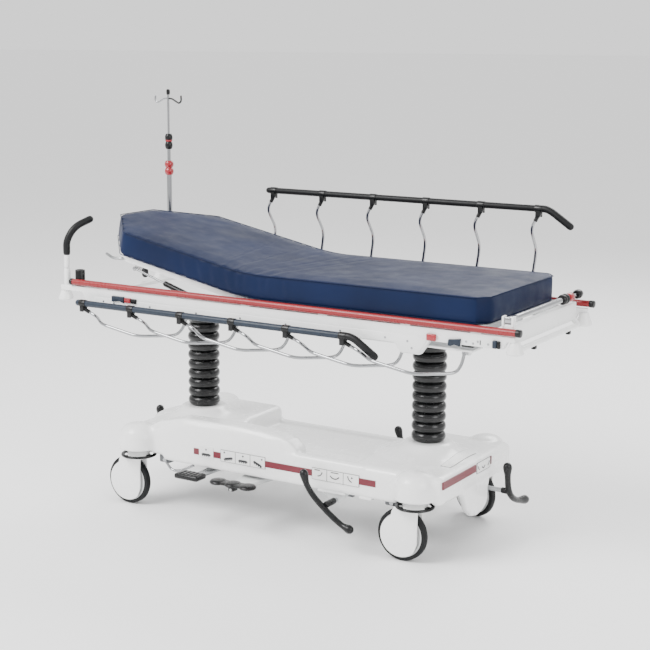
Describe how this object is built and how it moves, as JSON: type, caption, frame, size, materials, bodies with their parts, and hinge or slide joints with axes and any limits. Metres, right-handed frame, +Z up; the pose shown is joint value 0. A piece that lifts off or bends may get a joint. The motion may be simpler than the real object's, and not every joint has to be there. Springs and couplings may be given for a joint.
{
  "type": "stretcher trolley",
  "caption": "Hospital stretcher trolley: padded litter with a lifting backrest and folding side rails, on two hydraulic columns over a moulded base with swivel casters.",
  "frame": {"origin": "on the floor under the middle of the whole trolley", "axes": "+Z up, +X toward the foot end, -Y toward the side whose rail is folded down"},
  "size_m": [2.1082, 0.9144, 1.696],
  "materials": {
    "white_shell": "glossy moulded white",
    "white_paint": "satin white powder coat",
    "grey_paint": "satin grey powder coat",
    "dark_steel": "dark satin paint",
    "jack_steel": "ground steel",
    "chrome": "polished",
    "black_rubber": "glossy folded rubber",
    "tyre": "matt black tread",
    "black_plastic": "satin black",
    "slate_grip": "satin slate blue",
    "red_paint": "satin red",
    "red_plastic": "glossy red",
    "navy_fabric": "coated navy cloth"
  },
  "bodies": {
    "base": {"base_hood": "white_shell", "base_chassis": "dark_steel", "jack_cylinders": "dark_steel", "bellows_head": "black_rubber", "bellows_foot": "black_rubber"},
    "caster_head_near": {"caster_fork_head_near": "white_shell"},
    "wheel_head_near": {"caster_wheel_head_near": "tyre"},
    "caster_foot_near": {"caster_fork_foot_near": "white_shell"},
    "wheel_foot_near": {"caster_wheel_foot_near": "tyre"},
    "caster_head_far": {"caster_fork_head_far": "white_shell"},
    "wheel_head_far": {"caster_wheel_head_far": "tyre"},
    "caster_foot_far": {"caster_fork_foot_far": "white_shell"},
    "wheel_foot_far": {"caster_wheel_foot_far": "tyre"},
    "side_brake": {"side_brake_levers": "black_plastic"},
    "end_brake": {"end_brake_levers": "black_plastic"},
    "pump_near": {"pump_pedal_near": "black_plastic"},
    "release_near": {"release_bracket_near": "grey_paint"},
    "release_rocker_near": {"release_pad_near": "black_plastic"},
    "pump_far": {"pump_pedal_far": "black_plastic"},
    "release_far": {"release_bracket_far": "grey_paint"},
    "release_rocker_far": {"release_pad_far": "black_plastic"},
    "lift": {"jack_rods": "jack_steel", "column_cap_head": "black_plastic", "column_cap_foot": "black_plastic"},
    "litter": {"litter_frame": "white_paint", "bumper_rail_near": "red_paint", "bumper_rail_far": "red_paint", "foot_panel": "white_paint", "seat_deck": "grey_paint", "seat_mattress": "navy_fabric", "iv_socket": "black_plastic"},
    "fowler": {"fowler_deck": "grey_paint", "fowler_mattress": "navy_fabric"},
    "fowler_release": {"fowler_release": "dark_steel"},
    "gas_cylinder": {"gas_cylinder": "black_plastic"},
    "gas_rod": {"gas_rod": "chrome"},
    "spindle_near_1": {"rail_spindle_near_1": "chrome"},
    "spindle_near_2": {"rail_spindle_near_2": "chrome"},
    "spindle_near_3": {"rail_spindle_near_3": "chrome"},
    "spindle_near_4": {"rail_spindle_near_4": "chrome"},
    "spindle_near_5": {"rail_spindle_near_5": "chrome"},
    "spindle_near_6": {"rail_spindle_near_6": "chrome"},
    "rail_near": {"side_rail_near": "slate_grip"},
    "latch_near": {"rail_latch_near": "red_plastic"},
    "handle_near": {"push_handle_near": "black_plastic"},
    "spindle_far_1": {"rail_spindle_far_1": "chrome"},
    "spindle_far_2": {"rail_spindle_far_2": "chrome"},
    "spindle_far_3": {"rail_spindle_far_3": "chrome"},
    "spindle_far_4": {"rail_spindle_far_4": "chrome"},
    "spindle_far_5": {"rail_spindle_far_5": "chrome"},
    "spindle_far_6": {"rail_spindle_far_6": "chrome"},
    "rail_far": {"side_rail_far": "black_plastic"},
    "latch_far": {"rail_latch_far": "red_plastic"},
    "handle_far": {"push_handle_far": "black_plastic"},
    "head_pole": {"iv_pole_head_lower": "chrome"},
    "head_pole_middle": {"iv_pole_head_middle": "chrome"},
    "head_pole_top": {"iv_pole_head_top": "chrome"},
    "foot_pole": {"iv_pole_foot_lower": "chrome"},
    "foot_pole_upper": {"iv_pole_foot_upper": "chrome"}
  },
  "joints": [
    {"name": "swivel_head_near", "type": "hinge", "parent": "base", "child": "caster_head_near", "pos_m": [-0.665, -0.303, 0.25], "axis": [0, 0, 1], "continuous": true},
    {"name": "spin_head_near", "type": "hinge", "parent": "caster_head_near", "child": "wheel_head_near", "pos_m": [-0.715, -0.303, 0.1015], "axis": [0, 1, 0], "continuous": true},
    {"name": "swivel_foot_near", "type": "hinge", "parent": "base", "child": "caster_foot_near", "pos_m": [0.633, -0.303, 0.25], "axis": [0, 0, 1], "continuous": true},
    {"name": "spin_foot_near", "type": "hinge", "parent": "caster_foot_near", "child": "wheel_foot_near", "pos_m": [0.583, -0.303, 0.1015], "axis": [0, 1, 0], "continuous": true},
    {"name": "swivel_head_far", "type": "hinge", "parent": "base", "child": "caster_head_far", "pos_m": [-0.665, 0.303, 0.25], "axis": [0, 0, 1], "continuous": true},
    {"name": "spin_head_far", "type": "hinge", "parent": "caster_head_far", "child": "wheel_head_far", "pos_m": [-0.715, 0.303, 0.1015], "axis": [0, 1, 0], "continuous": true},
    {"name": "swivel_foot_far", "type": "hinge", "parent": "base", "child": "caster_foot_far", "pos_m": [0.633, 0.303, 0.25], "axis": [0, 0, 1], "continuous": true},
    {"name": "spin_foot_far", "type": "hinge", "parent": "caster_foot_far", "child": "wheel_foot_far", "pos_m": [0.5847, 0.31594, 0.1015], "axis": [0.2588, 0.9659, 0], "continuous": true},
    {"name": "side_brake_turn", "type": "hinge", "parent": "base", "child": "side_brake", "pos_m": [0.288, 0, 0.182], "axis": [0, 1, 0], "range_deg": [-18, 18]},
    {"name": "end_brake_turn", "type": "hinge", "parent": "base", "child": "end_brake", "pos_m": [0, 0.1, 0.2015], "axis": [1, 0, 0], "range_deg": [-18, 18]},
    {"name": "pump_press_near", "type": "hinge", "parent": "base", "child": "pump_near", "pos_m": [-0.312, -0.205, 0.2], "axis": [1, 0, 0], "range_deg": [0, 15], "stiffness_Nm_per_rad": 12, "springref_deg": -14.32},
    {"name": "release_press_near", "type": "hinge", "parent": "base", "child": "release_near", "pos_m": [-0.108, -0.205, 0.2], "axis": [1, 0, 0], "range_deg": [0, 12], "stiffness_Nm_per_rad": 14, "springref_deg": -14.32},
    {"name": "release_rock_near", "type": "hinge", "parent": "release_near", "child": "release_rocker_near", "pos_m": [-0.108, -0.42, 0.191], "axis": [0, 1, 0], "range_deg": [-10, 10], "stiffness_Nm_per_rad": 2},
    {"name": "pump_press_far", "type": "hinge", "parent": "base", "child": "pump_far", "pos_m": [-0.312, 0.205, 0.2], "axis": [1, 0, 0], "range_deg": [-15, 0], "stiffness_Nm_per_rad": 12, "springref_deg": 14.32},
    {"name": "release_press_far", "type": "hinge", "parent": "base", "child": "release_far", "pos_m": [-0.108, 0.205, 0.2], "axis": [1, 0, 0], "range_deg": [-12, 0], "stiffness_Nm_per_rad": 14, "springref_deg": 14.32},
    {"name": "release_rock_far", "type": "hinge", "parent": "release_far", "child": "release_rocker_far", "pos_m": [-0.108, 0.42, 0.191], "axis": [0, 1, 0], "range_deg": [-10, 10], "stiffness_Nm_per_rad": 2},
    {"name": "litter_lift", "type": "slide", "parent": "base", "child": "lift", "axis": [0, 0, 1], "range_m": [-0.28, 0], "deforming": ["bellows_head", "bellows_foot"]},
    {"name": "litter_tilt", "type": "hinge", "parent": "lift", "child": "litter", "pos_m": [-0.01, 0, 0.862], "axis": [0, 1, 0], "range_deg": [-7, 7]},
    {"name": "fowler_raise", "type": "hinge", "parent": "litter", "child": "fowler", "pos_m": [-0.12, 0, 0.93], "axis": [0, 1, 0], "range_deg": [-11.3, 63]},
    {"name": "fowler_release_squeeze", "type": "hinge", "parent": "fowler", "child": "fowler_release", "pos_m": [-0.74249, 0, 1.02991], "axis": [0, 1, 0], "range_deg": [0, 8], "stiffness_Nm_per_rad": 1, "springref_deg": -17.19},
    {"name": "gas_spring_swing", "type": "hinge", "parent": "litter", "child": "gas_cylinder", "pos_m": [-0.287, -0.262, 0.858], "axis": [0, 1, 0], "range_deg": [-12.5, 69.5]},
    {"name": "gas_spring_stroke", "type": "slide", "parent": "gas_cylinder", "child": "gas_rod", "axis": [-0.9534, 0, 0.3017], "range_m": [-0.034, 0.181]},
    {"name": "rail_fold_near_1", "type": "hinge", "parent": "litter", "child": "spindle_near_1", "pos_m": [-0.437, -0.263, 0.812], "axis": [0, 1, 0], "range_deg": [0, 87]},
    {"name": "rail_fold_near_2", "type": "hinge", "parent": "litter", "child": "spindle_near_2", "pos_m": [-0.189, -0.263, 0.812], "axis": [0, 1, 0], "range_deg": [0, 87]},
    {"name": "rail_fold_near_3", "type": "hinge", "parent": "litter", "child": "spindle_near_3", "pos_m": [0.059, -0.263, 0.812], "axis": [0, 1, 0], "range_deg": [0, 87]},
    {"name": "rail_fold_near_4", "type": "hinge", "parent": "litter", "child": "spindle_near_4", "pos_m": [0.307, -0.263, 0.812], "axis": [0, 1, 0], "range_deg": [0, 87]},
    {"name": "rail_fold_near_5", "type": "hinge", "parent": "litter", "child": "spindle_near_5", "pos_m": [0.555, -0.263, 0.812], "axis": [0, 1, 0], "range_deg": [0, 87]},
    {"name": "rail_fold_near_6", "type": "hinge", "parent": "litter", "child": "spindle_near_6", "pos_m": [0.803, -0.263, 0.812], "axis": [0, 1, 0], "range_deg": [0, 87]},
    {"name": "rail_level_near", "type": "hinge", "parent": "spindle_near_1", "child": "rail_near", "pos_m": [-0.87293, -0.388, 0.82483], "axis": [0, 1, 0], "range_deg": [-87, 0]},
    {"name": "latch_turn_near", "type": "hinge", "parent": "litter", "child": "latch_near", "pos_m": [0.712, -0.345, 0.882], "axis": [0, 1, 0], "range_deg": [0, 15]},
    {"name": "handle_fold_near", "type": "hinge", "parent": "litter", "child": "handle_near", "pos_m": [-1.013, -0.322, 0.985], "axis": [1, 0, 0], "range_deg": [-90, 0]},
    {"name": "rail_fold_far_1", "type": "hinge", "parent": "litter", "child": "spindle_far_1", "pos_m": [-0.437, 0.263, 0.812], "axis": [0, 1, 0], "range_deg": [-87, 0]},
    {"name": "rail_fold_far_2", "type": "hinge", "parent": "litter", "child": "spindle_far_2", "pos_m": [-0.189, 0.263, 0.812], "axis": [0, 1, 0], "range_deg": [-87, 0]},
    {"name": "rail_fold_far_3", "type": "hinge", "parent": "litter", "child": "spindle_far_3", "pos_m": [0.059, 0.263, 0.812], "axis": [0, 1, 0], "range_deg": [-87, 0]},
    {"name": "rail_fold_far_4", "type": "hinge", "parent": "litter", "child": "spindle_far_4", "pos_m": [0.307, 0.263, 0.812], "axis": [0, 1, 0], "range_deg": [-87, 0]},
    {"name": "rail_fold_far_5", "type": "hinge", "parent": "litter", "child": "spindle_far_5", "pos_m": [0.555, 0.263, 0.812], "axis": [0, 1, 0], "range_deg": [-87, 0]},
    {"name": "rail_fold_far_6", "type": "hinge", "parent": "litter", "child": "spindle_far_6", "pos_m": [0.803, 0.263, 0.812], "axis": [0, 1, 0], "range_deg": [-87, 0]},
    {"name": "rail_level_far", "type": "hinge", "parent": "spindle_far_1", "child": "rail_far", "pos_m": [-0.447, 0.388, 1.248], "axis": [0, 1, 0], "range_deg": [0, 87]},
    {"name": "latch_turn_far", "type": "hinge", "parent": "litter", "child": "latch_far", "pos_m": [0.712, 0.345, 0.882], "axis": [0, 1, 0], "range_deg": [0, 15]},
    {"name": "handle_fold_far", "type": "hinge", "parent": "litter", "child": "handle_far", "pos_m": [-1.013, 0.322, 0.985], "axis": [1, 0, 0], "range_deg": [-90, 0]},
    {"name": "head_pole_fold", "type": "hinge", "parent": "litter", "child": "head_pole", "pos_m": [-0.972, 0.33, 1.03], "axis": [1, 0, 0], "range_deg": [0, 70]},
    {"name": "head_pole_extend", "type": "slide", "parent": "head_pole", "child": "head_pole_middle", "axis": [0, 0, 1], "range_m": [-0.03, 0.18]},
    {"name": "head_pole_top_extend", "type": "slide", "parent": "head_pole_middle", "child": "head_pole_top", "axis": [0, 0, 1], "range_m": [-0.1, 0.15]},
    {"name": "foot_pole_raise", "type": "hinge", "parent": "litter", "child": "foot_pole", "pos_m": [1, -0.33, 0.963], "axis": [1, 0, 0], "range_deg": [0, 90]},
    {"name": "foot_pole_extend", "type": "slide", "parent": "foot_pole", "child": "foot_pole_upper", "axis": [0, 1, 0], "range_m": [0, 0.3]}
  ],
  "couplings": [
    {"joint": "end_brake_turn", "follows": "side_brake_turn", "ratio": 1},
    {"joint": "gas_spring_swing", "follows": "fowler_raise", "ratio": 1.095},
    {"joint": "gas_spring_stroke", "follows": "fowler_raise", "m_per_rad": 0.162},
    {"joint": "rail_fold_near_2", "follows": "rail_fold_near_1", "ratio": 1},
    {"joint": "rail_fold_near_3", "follows": "rail_fold_near_1", "ratio": 1},
    {"joint": "rail_fold_near_4", "follows": "rail_fold_near_1", "ratio": 1},
    {"joint": "rail_fold_near_5", "follows": "rail_fold_near_1", "ratio": 1},
    {"joint": "rail_fold_near_6", "follows": "rail_fold_near_1", "ratio": 1},
    {"joint": "rail_level_near", "follows": "rail_fold_near_1", "ratio": -1},
    {"joint": "rail_fold_far_2", "follows": "rail_fold_far_1", "ratio": 1},
    {"joint": "rail_fold_far_3", "follows": "rail_fold_far_1", "ratio": 1},
    {"joint": "rail_fold_far_4", "follows": "rail_fold_far_1", "ratio": 1},
    {"joint": "rail_fold_far_5", "follows": "rail_fold_far_1", "ratio": 1},
    {"joint": "rail_fold_far_6", "follows": "rail_fold_far_1", "ratio": 1},
    {"joint": "rail_level_far", "follows": "rail_fold_far_1", "ratio": -1}
  ]
}
